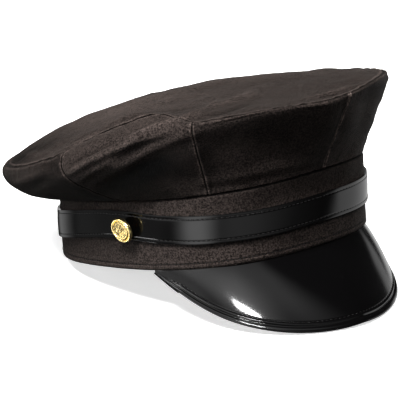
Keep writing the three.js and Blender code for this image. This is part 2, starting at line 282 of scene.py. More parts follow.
def plan(turn, offset):
    """The band's plan at a turn: x, y at an offset outwards, and the outward direction."""
    def along(t):
        size = 1 - PLAN_SQUARENESS * np.cos(4 * t) - PLAN_TAPER * np.cos(3 * t)
        x = -BAND_WIDTH / 2 * size * np.sin(t)
        y = -BAND_LENGTH / 2 * size * np.cos(t)
        return np.stack([x, y], -1)

    t = np.radians(turn)
    tangent = along(t + 1e-4) - along(t - 1e-4)
    outward = np.stack([-tangent[..., 1], tangent[..., 0]], -1)
    outward = outward / np.linalg.norm(outward, axis=-1, keepdims=True)
    outward = outward * np.sign((outward * along(t)).sum(-1, keepdims=True))
    return along(t) + outward * np.asarray(offset, float)[..., None], outward


def band_height(turn):
    front_share = (1 + np.cos(np.radians(turn))) / 2
    return BAND_REAR_HEIGHT + (BAND_FRONT_HEIGHT - BAND_REAR_HEIGHT) * front_share


def band_point(turn, offset, height):
    """A point at an offset out from the band's leaning wall and a height above its lower rim."""
    values = [np.asarray(value, float) for value in (turn, offset, height)]
    turn, offset, height = np.broadcast_arrays(*values)
    point, _ = plan(turn, offset)
    forward = BAND_LEAN * height / BAND_FRONT_HEIGHT
    return np.stack([point[..., 0], point[..., 1] - forward, height], -1)


def outward_at(turn):
    _, outward = plan(turn, np.zeros_like(turn))
    return np.concatenate([outward, np.zeros_like(outward[..., :1])], -1)


def peak_length(turn):
    share = np.minimum(np.abs(turn) / PEAK_HALF_SPAN, 1)
    full = np.cos(share**PEAK_EDGE_POWER * np.pi / 2)
    return PEAK_END_LENGTH + (PEAK_LENGTH - PEAK_END_LENGTH) * full


def peak_point(turn, along):
    """A point of the peak's face: along runs from 0 at the band to 1 at the outer edge."""
    turn, along = np.broadcast_arrays(turn, along)
    share = (np.abs(turn) / PEAK_HALF_SPAN) ** PEAK_SLOPE_POWER
    slope = np.radians(PEAK_SLOPE_FRONT + (PEAK_SLOPE_SIDE - PEAK_SLOPE_FRONT) * share)
    reach = along * peak_length(turn)
    bow = PEAK_BOW * peak_length(turn) * 4 * along * (1 - along)
    out = reach * np.cos(slope) + bow * np.sin(slope)
    down = reach * np.sin(slope) - bow * np.cos(slope)
    start = band_point(turn, -BAND_WALL / 2, -GAP)
    return start + outward_at(turn) * out[..., None] - UP * down[..., None]


def crown_edge(turn):
    t = np.radians(turn)
    return np.stack(
        [-CROWN_WIDTH / 2 * np.sin(t), -CROWN_LENGTH / 2 * np.cos(t), table_at("height", turn)], -1
    )


def top_point(turn, share):
    """A point of the top panel: share runs from 0 at the centre to 1 at the crown's edge."""
    turn, share = np.broadcast_arrays(turn, share)
    edge = crown_edge(turn)
    dome = (CROWN_CENTRE_HEIGHT - edge[..., 2]) * (1 - share**DOME_POWER)
    at_edge = np.minimum(1, (1 - share) * SEAM_FADE)
    lift = fold_lift(TOP_FOLDS, turn, share, CROWN_WIDTH / 2) * at_edge
    return np.stack([edge[..., 0] * share, edge[..., 1] * share, edge[..., 2] + dome + lift], -1)


def wall_point(turn, rise):
    """A point of the side wall: rise runs from 0 at the band's top to 1 at the top seam."""
    turn, rise = np.broadcast_arrays(turn, rise)
    low = band_point(turn, 0, band_height(turn) + GAP)
    high = crown_edge(turn)
    out = outward_at(turn)
    foot_out, foot_up, shoulder_out, shoulder_down = (
        table_at(column, turn)[..., None]
        for column in ("foot_out", "foot_up", "shoulder_out", "shoulder_down")
    )
    foot = low + out * foot_out + UP * foot_up
    shoulder = high + out * shoulder_out - UP * shoulder_down
    r = rise[..., None]
    here = (
        (1 - r) ** 3 * low
        + 3 * (1 - r) ** 2 * r * foot
        + 3 * (1 - r) * r**2 * shoulder
        + r**3 * high
    )
    way = np.linalg.norm(high - low, axis=-1)
    at_edge = np.minimum(1, np.minimum(rise, 1 - rise) * SEAM_FADE)
    return here + out * (fold_lift(WALL_FOLDS, turn, rise, way) * at_edge)[..., None]


def seam_inset(turn):
    """How far in over the crown's edge the top seam lies, in millimetres."""
    turns, insets = zip(*SEAM_INSET)
    return sum(np.interp(turn + shift, turns, insets) for shift in (-2, -1, 0, 1, 2)) / 5


def skin_point(turn, over):
    """A point of the crown's skin: over is how far in from the crown's edge it lies, or below 0
    how far down the side wall, in millimetres."""
    turn, over = np.broadcast_arrays(turn, over)
    reach = np.linalg.norm(crown_edge(turn)[..., :2], axis=-1)
    rise = np.clip(1 + over / wall_height(turn), 0, 1)
    top = top_point(turn, np.clip(1 - over / reach, 0, 1))
    wall = wall_point(turn, rise)
    puff = PUFF_HEIGHT * bell(turn, PUFF_TURN, PUFF_SPREAD) * bell(over, PUFF_PLACE, PUFF_WIDTH)
    return np.where(over[..., None] > 0, top, wall) + (puff * rise)[..., None] * UP


def wall_height(turn):
    """About how long the side wall is from the band to the crown's edge."""
    low = band_point(turn, 0, band_height(turn) + GAP)
    return 1.1 * np.linalg.norm(crown_edge(turn) - low, axis=-1)


def grid_normals(points, ring):
    """Unit normals of a grid of points, whose rows may close into a ring."""
    if ring:
        across = np.roll(points, -1, 0) - np.roll(points, 1, 0)
    else:
        across = np.gradient(points, axis=0)
    normals = np.cross(across, np.gradient(points, axis=1))
    length = np.linalg.norm(normals, axis=-1, keepdims=True)
    return normals / np.maximum(length, 1e-9)


def path_length(points, axis):
    """The length run so far along one axis of a grid of points."""
    steps = np.linalg.norm(np.diff(points, axis=axis), axis=-1)
    shape = list(points.shape[:-1])
    shape[axis] = 1
    return np.concatenate([np.zeros(shape), np.cumsum(steps, axis)], axis)


def seam_lift(distance, along, seed):
    """The cloth's height beside a seam at a distance from it: turned in, then rolled, puckered."""
    turned_in = -SEAM_DEPTH * bell(distance, 0, SEAM_SOFTNESS)
    rolled = SEAM_ROLL * bell(distance, SEAM_ROLL_PLACE, SEAM_ROLL_WIDTH)
    pucker = soft_noise(along, 0, seed, PUCKER_PITCH) * PUCKER_HEIGHT
    return turned_in + rolled + pucker * np.exp(-distance / PUCKER_REACH) * np.minimum(1, distance)


def new_object(name, points, faces, uvs, material, painted_shading=None):
    """A mesh object from points of the level cap, faces, one UV pair for each corner of a face,
    and the painted light or shade of the cloth at each point. Points and UVs are in millimetres."""
    mesh = bpy.data.meshes.new(name)
    mesh.from_pydata(to_row(points.reshape(-1, 3)).tolist(), [], faces.tolist())
    if uvs is not None:
        layer = mesh.uv_layers.new(name="cloth")
        layer.data.foreach_set("uv", (uvs * 1e-3).ravel())
    if painted_shading is not None:
        marks = mesh.attributes.new("painted_shading", "FLOAT", "POINT")
        marks.data.foreach_set("value", painted_shading.reshape(-1))
    tidy = bmesh.new()
    tidy.from_mesh(mesh)
    bmesh.ops.remove_doubles(tidy, verts=tidy.verts, dist=1e-7)
    if tidy.calc_volume(signed=True) < 0:
        bmesh.ops.reverse_faces(tidy, faces=tidy.faces)
    tidy.to_mesh(mesh)
    tidy.free()
    mesh.shade_smooth()
    mesh.set_sharp_from_angle(angle=math.radians(50))
    mesh.materials.append(material)
    obj = bpy.data.objects.new(name, mesh)
    bpy.context.scene.collection.objects.link(obj)
    return obj


def shell(name, outer, inner, uv, ring, material, painted_shading=None):
    """A closed sheet between an outer and an inner grid of points. uv is in millimetres, and has
    one more row than the grids where they close into a ring. The last argument is the painted light
    or, below 0, the painted shade of the outer face."""
    rows, columns = outer.shape[:2]
    count = 2 * columns
    points = np.concatenate([outer, inner[:, ::-1]], 1)
    places = np.concatenate([uv, uv[:, ::-1]], 1)
    i, j = np.meshgrid(np.arange(rows if ring else rows - 1), np.arange(count), indexing="ij")
    k = (j + 1) % count
    corners = [(i, j), (i, k), (i + 1, k), (i + 1, j)]
    faces = np.stack([(a % rows) * count + b for a, b in corners], -1).reshape(-1, 4)
    uvs = np.stack([places[a, b] for a, b in corners], 2).reshape(-1, 2)
    if not ring:
        j = np.arange(columns - 1)
        for row, way in ((0, 1), (rows - 1, -1)):
            strip = [j, count - 1 - j, count - 2 - j, j + 1][::way]
            faces = np.concatenate([faces, np.stack(strip, -1) + row * count])
            uvs = np.concatenate([uvs, np.stack([places[row, c] for c in strip], 1).reshape(-1, 2)])
    if painted_shading is not None:
        painted_shading = np.concatenate([painted_shading, np.zeros((rows, columns))], 1)
    return new_object(name, points, faces, uvs, material, painted_shading)


def seam_painted_shading(distance, light, width):
    """Painted shade in the seam itself, and a painted highlight on the rolled edge beside it."""
    return light * bell(distance / width, 2.2, 1) - bell(distance, 0, width)


# A stitch is a row of six-sided rings, placed by shares of its half length
STITCH_RINGS = (-1, -0.7, 0, 0.7, 1)
STITCH_SIDES = 6


def stitches(name, path, normals, pitch, size, material):
    """A row of stitches along a closed or open path on the level cap. size is the length, width
    and height of one in millimetres."""
    run = path_length(path, 0)
    count = int(run[-1] / pitch)
    at = (np.arange(count) + 0.5) * run[-1] / count

    def sample(values):
        return np.stack([np.interp(at, run, values[:, k]) for k in range(3)], -1)

    centre = sample(path)
    normal = sample(normals)
    ahead = sample(np.gradient(path, axis=0))
    ahead /= np.linalg.norm(ahead, axis=-1, keepdims=True)
    side = np.cross(normal, ahead)
    length, width, height = size
    points = []
    for lengthwise in STITCH_RINGS:
        girth = math.sqrt(max(1 - lengthwise**2, 0.02))
        for around in np.arange(STITCH_SIDES) * 2 * np.pi / STITCH_SIDES:
            points.append(
                centre
                + ahead * lengthwise * length / 2
                + side * math.cos(around) * girth * width / 2
                + normal * math.sin(around) * girth * height
            )
    per_stitch = len(points)
    points = np.stack(points, 1)
    faces = []
    for start in range(0, per_stitch - STITCH_SIDES, STITCH_SIDES):
        after = start + STITCH_SIDES
        for k in range(STITCH_SIDES):
            m = (k + 1) % STITCH_SIDES
            faces.append([start + k, start + m, after + m, after + k])
    starts = np.arange(count)[:, None, None] * per_stitch
    faces = (np.array(faces)[None] + starts).reshape(-1, 4)
    return new_object(name, points, faces, None, material)


# Materials

def shader(name):
    material = bpy.data.materials.new(name)
    material.use_nodes = True
    return material, material.node_tree, material.node_tree.nodes["Principled BSDF"]


def feed(tree, socket, value):
    """Set an input to a value, or link it where the value is another node's output."""
    if isinstance(value, bpy.types.NodeSocket):
        tree.links.new(value, socket)
    else:
        socket.default_value = value


def put(tree, kind, settings=(), **inputs):
    """A new node, with its settings and with its inputs set or linked by name."""
    made = tree.nodes.new(kind)
    for key, value in dict(settings).items():
        setattr(made, key, value)
    for key, value in inputs.items():
        feed(tree, made.inputs[key.replace("_", " ")], value)
    return made


def calculate(tree, operation, *values):
    """The result of a math node, each of its values a number or another node's output."""
    made = put(tree, "ShaderNodeMath", {"operation": operation})
    for socket, value in zip(made.inputs, values):
        feed(tree, socket, value)
    return made.outputs[0]


def mapped(tree, source, scale, turn=0):
    return put(
        tree, "ShaderNodeMapping", Vector=source, Scale=scale, Rotation=(0, 0, math.radians(turn))
    ).outputs[0]


def cloth_material(name, dark, light):
    """Fine twill: diagonal ribs, slubs both ways, mixed dark and light fibres, a soft sheen."""
    material, tree, surface = shader(name)
    place = put(tree, "ShaderNodeUVMap", {"uv_map": "cloth"}).outputs[0]
    ribs = put(
        tree,
        "ShaderNodeTexWave",
        {"wave_type": "BANDS", "bands_direction": "X"},
        Vector=mapped(tree, place, (1, 1, 1), 58),
        Scale=420.0,
        Distortion=0.6,
        Detail=1.0,
        Detail_Scale=2.0,
    ).outputs["Fac"]
    warp, weft = (
        put(
            tree, "ShaderNodeTexNoise", Vector=mapped(tree, place, scale), Scale=1.0, Detail=3.0
        ).outputs["Fac"]
        for scale in ((1700, 160, 1), (190, 1500, 1))
    )
    body = put(tree, "ShaderNodeTexCoord").outputs["Object"]
    fibres = put(
        tree, "ShaderNodeTexNoise", Vector=body, Scale=900.0, Detail=3.0, Roughness=0.75
    ).outputs["Fac"]
    cloudy = put(tree, "ShaderNodeTexNoise", Vector=body, Scale=45.0, Detail=4.0).outputs["Fac"]
    slubs = calculate(tree, "ADD", warp, weft)
    height = calculate(tree, "MULTIPLY_ADD", ribs, 0.4, slubs)
    height = calculate(tree, "MULTIPLY_ADD", fibres, 1.4, height)
    tone = calculate(tree, "MULTIPLY_ADD", fibres, 3.6, calculate(tree, "MULTIPLY", slubs, 0.5))
    tone = calculate(tree, "MULTIPLY_ADD", cloudy, 0.25, tone)
    spread = put(tree, "ShaderNodeMapRange", Value=tone, From_Min=2.08, From_Max=2.82)
    ramp = put(tree, "ShaderNodeValToRGB", Fac=spread.outputs["Result"])
    ramp.color_ramp.elements[0].color = (*dark, 1)
    ramp.color_ramp.elements[1].color = (*light, 1)
    bump = put(tree, "ShaderNodeBump", Height=height, Strength=0.8, Distance=0.00045)
    # The cloth's colour is scaled by the mesh's painted light and shade
    painted_shading = put(tree, "ShaderNodeAttribute", {"attribute_name": "painted_shading"}).outputs["Fac"]
    lightness = calculate(tree, "ADD", painted_shading, 1.0)
    painted_colour = put(tree, "ShaderNodeVectorMath", {"operation": "SCALE"}, Scale=lightness)
    tree.links.new(ramp.outputs["Color"], painted_colour.inputs[0])
    tree.links.new(painted_colour.outputs["Vector"], surface.inputs["Base Color"])
    tree.links.new(bump.outputs[0], surface.inputs["Normal"])
    surface.inputs["Roughness"].default_value = 0.6
    surface.inputs["Specular IOR Level"].default_value = 0.04
    surface.inputs["Sheen Weight"].default_value = 0.03
    surface.inputs["Sheen Roughness"].default_value = 0.35
    surface.inputs["Sheen Tint"].default_value = (0.85, 0.76, 0.68, 1)
    return material


def patent_material(name, ripple, haze=0):
    """Black patent vinyl: a deep gloss over a faintly uneven face. With haze, a clear coat lies
    over vinyl with a broad soft gloss of its own."""
    material, tree, surface = shader(name)
    place = put(tree, "ShaderNodeTexCoord").outputs["Object"]
    uneven = put(tree, "ShaderNodeTexNoise", Vector=place, Scale=28.0, Detail=2.0)
    grain = put(tree, "ShaderNodeTexNoise", Vector=place, Scale=900.0, Detail=2.0)
    height = calculate(tree, "MULTIPLY_ADD", grain.outputs["Fac"], 0.03, uneven.outputs["Fac"])
    bump = put(tree, "ShaderNodeBump", Height=height, Strength=ripple, Distance=0.001)
    smear = put(tree, "ShaderNodeTexNoise", Vector=place, Scale=60.0, Detail=3.0)
    low, high = (0.3, 0.4) if haze else (0.07, 0.16)
    rough = put(tree, "ShaderNodeMapRange", Value=smear.outputs["Fac"], To_Min=low, To_Max=high)
    tree.links.new(bump.outputs[0], surface.inputs["Normal"])
    tree.links.new(rough.outputs[0], surface.inputs["Roughness"])
    surface.inputs["Base Color"].default_value = (0.0014, 0.0013, 0.0014, 1)
    surface.inputs["Specular IOR Level"].default_value = haze or 0.5
    if haze:
        tree.links.new(bump.outputs[0], surface.inputs["Coat Normal"])
        surface.inputs["Coat Weight"].default_value = 1
        surface.inputs["Coat Roughness"].default_value = 0.1
    return material


def thread_material():
    material, tree, surface = shader("black_thread")
    place = put(tree, "ShaderNodeTexCoord").outputs["Object"]
    twist = put(tree, "ShaderNodeTexWave", Vector=place, Scale=2500.0, Distortion=1.0)
    bump = put(tree, "ShaderNodeBump", Height=twist.outputs["Fac"], Strength=0.4, Distance=0.0001)
    tree.links.new(bump.outputs[0], surface.inputs["Normal"])
    surface.inputs["Base Color"].default_value = (0.006, 0.0055, 0.0055, 1)
    surface.inputs["Roughness"].default_value = 0.5
    surface.inputs["Specular IOR Level"].default_value = 0.2
    return material


def gold_material():
    """Pale gold plate, darker in its recesses, which the mesh marks as relief."""
    material, tree, surface = shader("gold_plate")
    relief = put(tree, "ShaderNodeAttribute", {"attribute_name": "relief"})
    ramp = put(tree, "ShaderNodeValToRGB", Fac=relief.outputs["Fac"])
    ramp.color_ramp.elements[0].position = 0.25
    ramp.color_ramp.elements[0].color = (0.5, 0.3, 0.08, 1)
    ramp.color_ramp.elements[1].position = 0.7
    ramp.color_ramp.elements[1].color = (0.96, 0.77, 0.34, 1)
    place = put(tree, "ShaderNodeTexCoord").outputs["Object"]
    grain = put(tree, "ShaderNodeTexNoise", Vector=place, Scale=1500.0, Detail=3.0)
    bump = put(tree, "ShaderNodeBump", Height=grain.outputs["Fac"], Strength=0.25, Distance=0.0001)
    tree.links.new(ramp.outputs["Color"], surface.inputs["Base Color"])
    tree.links.new(bump.outputs[0], surface.inputs["Normal"])
    surface.inputs["Metallic"].default_value = 1
    surface.inputs["Roughness"].default_value = 0.24
    return material


def floor_material():
    material, tree, surface = shader("pale_floor")
    place = put(tree, "ShaderNodeTexCoord").outputs["Object"]
    mottle = put(tree, "ShaderNodeTexNoise", Vector=place, Scale=8.0, Detail=2.0)
    tone = put(
        tree,
        "ShaderNodeMapRange",
        {"data_type": "FLOAT_VECTOR"},
        Vector=mottle.outputs["Color"],
        To_Min=(0.88, 0.88, 0.88),
        To_Max=(0.9, 0.9, 0.9),
    )
    tree.links.new(tone.outputs["Vector"], surface.inputs["Base Color"])
    surface.inputs["Roughness"].default_value = 0.9
    surface.inputs["Specular IOR Level"].default_value = 0.1
    surface.inputs["Emission Color"].default_value = (1, 1, 1, 1)
    surface.inputs["Emission Strength"].default_value = 0.65
    return material


DARK_FIBRE = (0.005, 0.0039, 0.0035)
LIGHT_FIBRE = (0.0445, 0.0344, 0.0307)
CROWN_CLOTH = cloth_material("crown_twill", DARK_FIBRE, LIGHT_FIBRE)
BAND_CLOTH = cloth_material("band_twill", DARK_FIBRE, LIGHT_FIBRE)
STRAP_VINYL = patent_material("strap_vinyl", 0.12)
PEAK_VINYL = patent_material("peak_vinyl", 0.05, 0.04)
THREAD = thread_material()
GOLD = gold_material()


def dress(piece, slot, *nodes):
    """The piece rides on the cap and stands for CAD nodes. slot is not used."""
    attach(piece, "root")
    if nodes:
        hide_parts(*nodes)
    return piece


# Crown: the top panel and eight side panels. Both turn in to the same line at the top seam.

RING_STEPS = 480
TOP_RINGS = 96
PANEL_STEPS = 72
WALL_ROWS = 80
# How often the side panels are smoothed where they pass over the crown's edge
EDGE_ROUNDING = 60
# How far from the top seam the cloth of both sides starts to turn in along the seam's own way
SEAM_BLEND = 1.5
# The crown's mean radius, which the puckers of its top seam go by
CROWN_RADIUS = 120
# Unevenness of the top panel: its height, the seed of its waves and their length
TOP_UNEVENNESS = [(0.28, 5, 34), (0.05, 6, 9)]


def seam_line(turn):
    """The top seam, and the way out of the cloth there, half way between its two sides."""
    over = seam_inset(turn)
    seam = skin_point(turn, over)
    round_way = skin_point(turn + 1e-2, seam_inset(turn + 1e-2)) - seam
    through = 0
    for step in (1e-2, -1e-2):
        normal = np.cross(skin_point(turn, over + step) - seam, round_way)
        normal /= np.linalg.norm(normal, axis=-1, keepdims=True)
        through = through + normal * np.sign(normal[..., 2:])
    return seam, through / np.linalg.norm(through, axis=-1, keepdims=True)


def bunched(steps, amount):
    """Shares from 0 to 1, with finer steps near both ends."""
    even = np.linspace(0, 1, steps + 1)
    return even - amount * np.sin(2 * np.pi * even) / (2 * np.pi)


def settle_edge(grid, normals, lift, edge, through):
    """A grid lifted along its normals, with the last column turned in along the seam's way."""
    to_edge = path_length(grid[:, ::-1], 1)[:, ::-1]
    near = bell(to_edge, 0, SEAM_BLEND)[..., None]
    blend = normals * (1 - near) + through[:, None] * near
    blend /= np.linalg.norm(blend, axis=-1, keepdims=True)
    lifted = grid + blend * lift[..., None]
    lifted[:, -1] = edge - through * SEAM_DEPTH
    return lifted, blend


# Painted light and shade on the top panel: how light or dark it is painted all over, and its
# patches of painted sheen and painted shade, each with its place and width in x, its place and
# width in y, and how much lighter it is
TOP_PAINTED_SHADE = -0.3
TOP_PAINTED_LIGHT_PATCHES = [(-38, 48, 30, 60, 0.75), (-85, 28, 75, 48, -0.9)]
# The most that painted light lightens the crown's cloth, as a share of its colour
MOST_PAINTED_LIGHT = 5


def make_top_panel():
    """The top panel in rings from its centre out to the seam, with finer steps beside the seam."""
    turn = np.arange(RING_STEPS) * 360 / RING_STEPS
    even = np.linspace(0, 1, TOP_RINGS + 1)
    share = even + 0.85 * np.sin(np.pi * even) / np.pi
    share = share * (1 - 0.1 * (1 - even))
    reach = np.linalg.norm(crown_edge(turn)[:, :2], axis=-1)
    inset = seam_inset(turn)
    over = reach[:, None] - (reach - inset)[:, None] * share
    grid = skin_point(turn[:, None], over)
    normals = grid_normals(grid, True)
    normals[:, 0] = (0, 0, 1)
    normals *= np.sign(normals[..., 2:])
    x, y = grid[..., 0], grid[..., 1]
    distance = path_length(grid[:, ::-1], 1)[:, ::-1]
    lift = seam_lift(distance, np.radians(turn)[:, None] * CROWN_RADIUS, 3)
    creases = fold_lift(CREASES, turn[:, None], over, 1) * np.minimum(1, distance / 5)
    lift += creases
    for height, seed, size in TOP_UNEVENNESS:
        lift += height * soft_noise(x, y, seed, size) * np.minimum(1, distance / 8)
    outer, blend = settle_edge(grid, normals, lift, *seam_line(turn))
    inner = outer - blend * CROWN_WALL
    uv = np.stack([x, y], -1)
    uv = np.concatenate([uv, uv[:1]])
    # Painted shade in the top seam with a painted highlight beside it, painted shade all over,
    # painted shading of the creases, and the painted sheen and shade patches
    painted_shading = seam_painted_shading(distance, 1.1, 0.9) + TOP_PAINTED_SHADE + CREASE_PAINTED_SHADING * creases
    for x_place, x_width, y_place, y_width, lighter in TOP_PAINTED_LIGHT_PATCHES:
        painted_shading += lighter * bell(x, x_place, x_width) * bell(y, y_place, y_width)
    painted_shading = np.clip(painted_shading, -0.9, MOST_PAINTED_LIGHT)
    panel = shell("crown_top", outer, inner, uv, True, CROWN_CLOTH, painted_shading)
    dress(panel, "crown_cloth", "top_panel")


# How much lighter or darker each side panel's cloth is painted: painted shade on the panels at the
# front and on the wearer's right, and slight differences of tone on the others
PANEL_PAINTED_SHADE_AND_TONE = (-0.5, -0.15, -0.7, 0.1, 0, -0.1, 0.1, -0.2)
# Painted highlight: how light the cloth is painted on the rolled edges beside the upright seams,
# most of all beside the front one
SEAM_PAINTED_HIGHLIGHT = 1.4
FRONT_SEAM_PAINTED_HIGHLIGHT = 4


def make_side_panel(number, start, end):
    """A side panel from one seam to the next, with finer cells beside its seams."""
    share = bunched(PANEL_STEPS, 0.8)
    rise = bunched(WALL_ROWS, 0.6)
    low = start["low"] + (end["low"] - start["low"]) * share
    high = start["high"] + (end["high"] - start["high"]) * share
    turn = low[:, None] + (high - low)[:, None] * rise
    inset = seam_inset(turn)
    over = (wall_height(turn) + inset) * rise - wall_height(turn)
    grid = skin_point(turn, over)
    for _ in range(EDGE_ROUNDING):
        moved = (grid[:, 2:] + grid[:, :-2]) / 2 - grid[:, 1:-1]
        near_edge = bell(over, 0, 5) * np.minimum(1, inset / 8)
        grid[:, 1:-1] += 0.5 * moved * near_edge[:, 1:-1, None]
    normals = grid_normals(grid, False)
    normals *= np.sign((normals * outward_at(turn)).sum())
    upward = path_length(grid, 1)
    to_top = upward[:, -1:] - upward
    sideways = path_length(grid, 0)
    to_end = sideways[-1:] - sideways
    lift = seam_lift(to_top, sideways, 7 + number)
    lift += seam_lift(sideways, upward, 20 + number) + seam_lift(to_end, upward, 21 + number)
    lift += seam_lift(upward, sideways, 40 + number)
    calm = np.minimum(1, np.minimum(np.minimum(to_top, upward), np.minimum(sideways, to_end)) / 5)
    creases = fold_lift(CREASES, turn, over, 1) * calm
    lift += creases
    lift += 0.3 * soft_noise(sideways + 90 * number, upward, 9, 24) * calm
    outer, blend = settle_edge(grid, normals, lift, *seam_line(high))
    inner = outer - blend * CROWN_WALL
    lean = math.radians(4 * (number % 3) - 4)
    u = sideways * math.cos(lean) - upward * math.sin(lean) + 97 * number
    v = sideways * math.sin(lean) + upward * math.cos(lean)
    # Painted shade in the seams with painted highlights beside them, painted shading of the creases,
    # the painted light and shade patches, and the panel's painted shade and tone
    painted_shading = seam_painted_shading(to_top, 0.6, 0.9) + seam_painted_shading(upward, 0.9, 0.4) + CREASE_PAINTED_SHADING * creases
    painted_shading += seam_painted_shading(sideways, FRONT_SEAM_PAINTED_HIGHLIGHT if number == 1 else SEAM_PAINTED_HIGHLIGHT, 0.5)
    painted_shading += seam_painted_shading(to_end, FRONT_SEAM_PAINTED_HIGHLIGHT if number == 8 else SEAM_PAINTED_HIGHLIGHT, 0.4)
    painted_shading += fold_lift(PAINTED_LIGHT_AND_SHADE, turn, over, 1)
    painted_shading = np.clip(painted_shading + PANEL_PAINTED_SHADE_AND_TONE[number - 1], -1, MOST_PAINTED_LIGHT)
    uv = np.stack([u, v], -1)
    panel = shell(f"crown_side_{number}", outer, inner, uv, False, CROWN_CLOTH, painted_shading)
    dress(panel, "crown_cloth", f"side_panel_{number}")


make_top_panel()
for index, seam in enumerate(PANEL_SEAMS):
    after = PANEL_SEAMS[(index + 1) % 8]
    full_turn = 360 if index == 7 else 0
    make_side_panel(index + 1, seam, {key: turn + full_turn for key, turn in after.items()})


# Band: a sheet of cloth with rounded rims, a hem line and a line of stitches above its lower rim

BAND_RADIUS = 92
BAND_ROWS = 70
RIM_ROUNDING = 0.7
HEM_HEIGHT = 3.6
# Painted light and shade: how much lighter the band's cloth is painted along its lower rim, and
# darker along its top, under the crown
BAND_PAINTED_LIGHT_FADE = 0.25
# Above the strap, from the first to the second share of its height, it is painted lighter at the
# sides, as painted light under the crown's overhang, and darker in front and behind, as painted
# shade
ABOVE_STRAP = (0.7, 0.8)
BAND_SIDE_PAINTED_LIGHT = 1.1
BAND_TOP_PAINTED_SHADE = -0.3


def ring_grid(profile, steps):
    """Points round the band. profile gives offsets and heights at a turn, one for each column."""
    turn = np.arange(steps) * 360 / steps
    offset, height = profile(turn[:, None])
    grid = band_point(turn[:, None], offset, height)
    run = path_length(np.concatenate([grid, grid[:1]]), 0)
    return turn, grid, run


def ring_fade(turn):
    """1 nearly all the way round, and 0 at the front, where a ring's unevenness meets itself."""
    return np.minimum(1, np.minimum(turn, 360 - turn) / 10)


def make_band():
    share = bunched(BAND_ROWS, 0.7)[None]

    def outside(turn):
        height = share * band_height(turn)
        rims = bell(height, 0, 0.7) + bell(band_height(turn) - height, 0, 0.8)
        hem = -0.3 * bell(height, HEM_HEIGHT, 0.5)
        loose = 0.16 * soft_noise(np.radians(turn) * BAND_RADIUS, height, 51, 26)
        return -RIM_ROUNDING * rims + hem + loose * ring_fade(turn), height

    def inside(turn):
        return -BAND_WALL, share * band_height(turn)

    turn, outer, run = ring_grid(outside, RING_STEPS)
    _, inner, _ = ring_grid(inside, RING_STEPS)
    uv = np.stack([run, np.concatenate([outer, outer[:1]])[..., 2]], -1)
    height = share * band_height(turn)[:, None]
    # Painted shade in the hem line and along the top, where the crown meets the band, with painted
    # highlights beside them
    painted_shading = seam_painted_shading(np.abs(height - HEM_HEIGHT), 0.35, 0.4)
    painted_shading += seam_painted_shading(band_height(turn)[:, None] - height, 0.2, 0.6)
    above = np.interp(share, ABOVE_STRAP, (0, 1))
    sideways = np.sin(np.radians(turn))[:, None] ** 4
    painted_shading += above * (BAND_SIDE_PAINTED_LIGHT * sideways + BAND_TOP_PAINTED_SHADE)
    painted_shading = np.clip(painted_shading + BAND_PAINTED_LIGHT_FADE * (1 - 2 * share), -1, 1)
    band = shell("band_sheet", outer, inner, uv, True, BAND_CLOTH, painted_shading)
    dress(band, "band_cloth", "band")
    around = np.linspace(0, 360, 721)
    path = band_point(around, 0.0, HEM_HEIGHT)
    seam = stitches("band_stitches", path, outward_at(around), 2.6, (1.9, 0.45, 0.18), THREAD)
    dress(seam, "band_cloth")


make_band()


# Strap: its face is faintly rounded between two rolled edges, each with a groove and stitches

STRAP_STEPS = 720
STRAP_RADIUS = 94
STRAP_EDGE = 1.3
STRAP_EDGE_HEIGHT = 0.06
STRAP_GROOVE = 2.1
STRAP_GROOVE_DEPTH = 0.12
STRAP_LINE_WIDTH = 0.45
STRAP_ROUNDING = 0.25


def strap_face(from_low):
    """Offset of the strap's face at a height above its lower edge."""
    from_edge = np.minimum(from_low, STRAP_WIDTH - from_low)
    roll = STRAP_EDGE_HEIGHT * bell(from_edge, STRAP_EDGE / 2, STRAP_LINE_WIDTH)
    groove = -STRAP_GROOVE_DEPTH * bell(from_edge, STRAP_GROOVE, STRAP_LINE_WIDTH)
    rounded = STRAP_ROUNDING * np.sin(np.pi * np.clip(from_low / STRAP_WIDTH, 0, 1))
    return GAP + STRAP_THICKNESS + roll + groove + rounded


def make_strap():
    even = np.linspace(0, 1, 81)
    share = (even - np.sin(4 * np.pi * even) / (8 * np.pi))[None]

    def outside(turn):
        from_low = share * STRAP_WIDTH
        wave = 0.05 * soft_noise(np.radians(turn) * STRAP_RADIUS, from_low, 61, 30)
        offset = strap_face(from_low) + wave * ring_fade(turn)
        return offset, table_at("height", turn, STRAP_RUN) + from_low

    def inside(turn):
        return GAP, table_at("height", turn, STRAP_RUN) + share * STRAP_WIDTH

    _, outer, run = ring_grid(outside, STRAP_STEPS)
    _, inner, _ = ring_grid(inside, STRAP_STEPS)
    uv = np.stack([run, np.concatenate([outer, outer[:1]])[..., 2]], -1)
    strap = shell("strap", outer, inner, uv, True, STRAP_VINYL)
    dress(strap, "strap_gloss", "chin_strap")
    around = np.linspace(0, 360, 1081)
    for name, from_low in (("low", STRAP_GROOVE), ("high", STRAP_WIDTH - STRAP_GROOVE)):
        height = table_at("height", around, STRAP_RUN) + from_low
        path = band_point(around, strap_face(from_low), height)
        size = (2.3, 0.8, 0.3)
        seam = stitches(f"strap_stitches_{name}", path, outward_at(around), 3.1, size, THREAD)
        dress(seam, "strap_gloss")


make_strap()


# Peak: a smooth face, with a rolled rim, a groove and a row of stitches along its edge

RIM_WIDTH = 3.2
RIM_HEIGHT = 0.8
PEAK_STITCH_PLACE = 6.6
# The lines beside the rim: how far in from the edge each lies, its width and its height
PEAK_LINES = [(3.9, 0.55, -0.35), (5.3, 0.7, 0.35), (PEAK_STITCH_PLACE, 0.45, -0.25)]
# How wide the strip with the rim and these lines is, and how long the peak has to be for it
RELIEF_WIDTH = 9
RELIEF_LENGTH = 16
# How far the peak reaches up into the band's hem, where it is sewn in
PEAK_TUCK = 1.0


